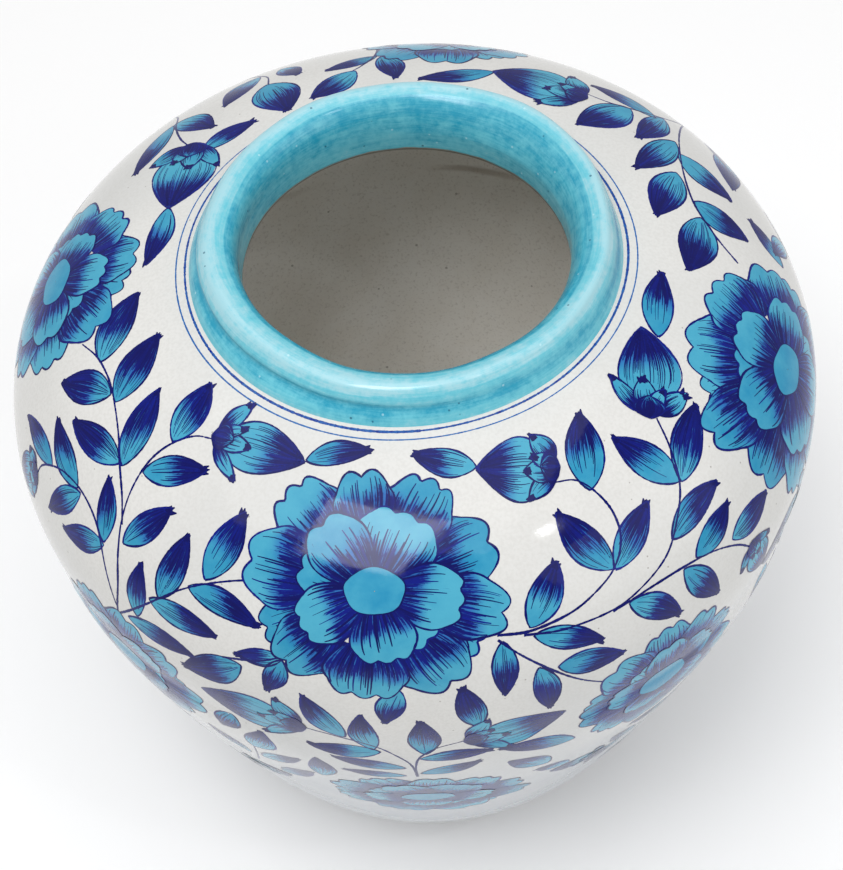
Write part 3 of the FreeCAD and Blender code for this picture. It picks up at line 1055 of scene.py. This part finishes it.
# Round the middle flowers of the back, places relative to the flower's azimuth.
MIDDLE_STEMS = [
    [(4, 47), (2.5, 54), (0.5, 60), (-0.5, 66)],
    [(-14, 96), (-18, 90), (-21, 82), (-22.5, 72), (-22, 60), (-20, 52)],
    [(13, 82), (17, 74), (19.5, 64), (20, 55)],
    [(14, 98), (19, 101), (23, 108), (24.5, 117)],
]
MIDDLE_LEAVES = [
    (2.5, 54.0, -5.5, 45.0, 6.2),
    (0.8, 60.0, 9.0, 52.5, 6.6),
    (-20.0, 86.5, -27.5, 78.5, 6.8),
    (-21.3, 81.0, -14.5, 70.5, 6.8),
    (-22.6, 72.0, -29.5, 62.0, 7.0),
    (-22.2, 62.0, -14.0, 53.0, 6.8),
    (-21.0, 54.0, -26.5, 43.5, 6.4),
    (16.0, 76.5, 24.0, 71.5, 6.4),
    (18.6, 68.0, 11.5, 58.5, 6.6),
    (20.0, 57.0, 28.0, 48.5, 6.8),
    (17.0, 100.0, 26.5, 95.5, 6.6),
    (21.5, 105.0, 15.0, 115.0, 6.6),
    (24.0, 112.0, 31.0, 105.0, 6.4),
]
MIDDLE_BUDS = [(24.5, 116.0, 22.0, 131.0, 10.0)]

MIDDLE_TURNS = (120.0, 216.0)

for index, turn in enumerate(MIDDLE_TURNS):
    spray("middle_spray_%d" % (index + 1), 70 + index, MIDDLE_STEMS, MIDDLE_LEAVES, MIDDLE_BUDS, turn)

# Low down between the lower flowers, relative to the middle of the gap.
LOW_STEMS = [
    [(0, 118), (-0.5, 128), (0.5, 138), (0, 148), (-1.5, 158)],
    [(0.3, 137), (5, 142), (11, 144), (16, 142)],
    [(-0.2, 130), (-6, 134), (-12, 135)],
]
LOW_LEAVES = [
    (-0.3, 126.0, 8.5, 118.5, 7.2),
    (-0.4, 124.0, -9.0, 117.5, 7.0),
    (5.0, 141.8, 7.5, 128.5, 7.0),
    (10.5, 144.0, 15.5, 153.5, 6.8),
    (-6.0, 134.0, -11.5, 123.5, 6.8),
    (-8.5, 135.0, -14.0, 145.5, 7.2),
    (0.3, 147.0, 8.0, 158.0, 7.6),
    (-0.5, 150.0, -8.5, 159.5, 7.2),
    (-1.5, 157.0, -0.5, 168.0, 6.6),
]
LOW_BUDS = [(15.5, 142.2, 25.0, 135.0, 10.0), (-12.0, 135.0, -22.0, 131.0, 9.0)]

LOW_TURNS = (39.0, 125.5, 216.5, 309.0)

for index, turn in enumerate(LOW_TURNS):
    spray("low_spray_%d" % (index + 1), 80 + index, LOW_STEMS, LOW_LEAVES, LOW_BUDS, turn)

# ---------------------------------------------------------------- floor, lights, camera


def build_floor():
    mesh = bpy.data.meshes.new("floor")
    half = 6.0
    corners = [(-half, -half, 0), (half, -half, 0), (half, half, 0), (-half, half, 0)]
    mesh.from_pydata(corners, [], [(0, 1, 2, 3)])
    floor = bpy.data.objects.new("floor", mesh)
    bpy.context.scene.collection.objects.link(floor)
    nodes = Nodes("floor_paper")
    tint = nodes.mix(nodes.noise(3.0, 2.0), (0.97, 0.97, 0.97, 1.0), (0.99, 0.99, 0.99, 1.0))
    mesh.materials.append(nodes.finish(tint, 0.7))


def softbox(name, place, target, size, power):
    data = bpy.data.lights.new(name, "AREA")
    data.shape = "RECTANGLE"
    data.size, data.size_y = size
    data.energy = power
    lamp = bpy.data.objects.new(name, data)
    bpy.context.scene.collection.objects.link(lamp)
    lamp.location = place
    lamp.rotation_euler = (Vector(target) - Vector(place)).to_track_quat("-Z", "Y").to_euler()


def build_lights():
    world = bpy.data.worlds.new("studio")
    bpy.context.scene.world = world
    world.use_nodes = True
    world.node_tree.nodes["Background"].inputs["Color"].default_value = (1.0, 1.0, 1.0, 1.0)
    world.node_tree.nodes["Background"].inputs["Strength"].default_value = 0.51
    centre = (0.0, 0.0, 0.12)
    softbox("overhead", (-0.15, 0.05, 1.7), centre, (1.5, 1.5), 9.5)
    softbox("window", (-0.20, -0.36, 1.09), (0.0, 0.0, 0.15), (0.36, 0.42), 3.8)
    softbox("fill", (1.0, -0.7, 0.8), centre, (1.0, 1.0), 3.0)
    softbox("small_window", (0.36, -0.40, 1.0), (0.0, 0.0, 0.18), (0.05, 0.05), 0.36)
    bpy.context.scene.view_settings.view_transform = "Standard"


def build_camera():
    """A portrait lens above and in front, turned a little about its own axis."""
    elevation, roll = math.radians(53.72), math.radians(4.81)
    distance, target = 0.5105, Vector((0.00094, 0.0, 0.1240))
    forward = Vector((0.0, math.cos(elevation), -math.sin(elevation)))
    right = Vector((1.0, 0.0, 0.0))
    up = Vector((0.0, math.sin(elevation), math.cos(elevation)))
    rolled_right = right * math.cos(roll) - up * math.sin(roll)
    rolled_up = up * math.cos(roll) + right * math.sin(roll)
    data = bpy.data.cameras.new("camera")
    data.lens, data.sensor_width = 80.0, 36.0
    data.clip_start, data.clip_end = 0.01, 50.0
    camera = bpy.data.objects.new("camera", data)
    bpy.context.scene.collection.objects.link(camera)
    turn = Matrix((rolled_right, rolled_up, -forward)).transposed()
    camera.matrix_world = Matrix.Translation(target - forward * distance) @ turn.to_4x4()
    bpy.context.scene.camera = camera


build_floor()
build_lights()
build_camera()
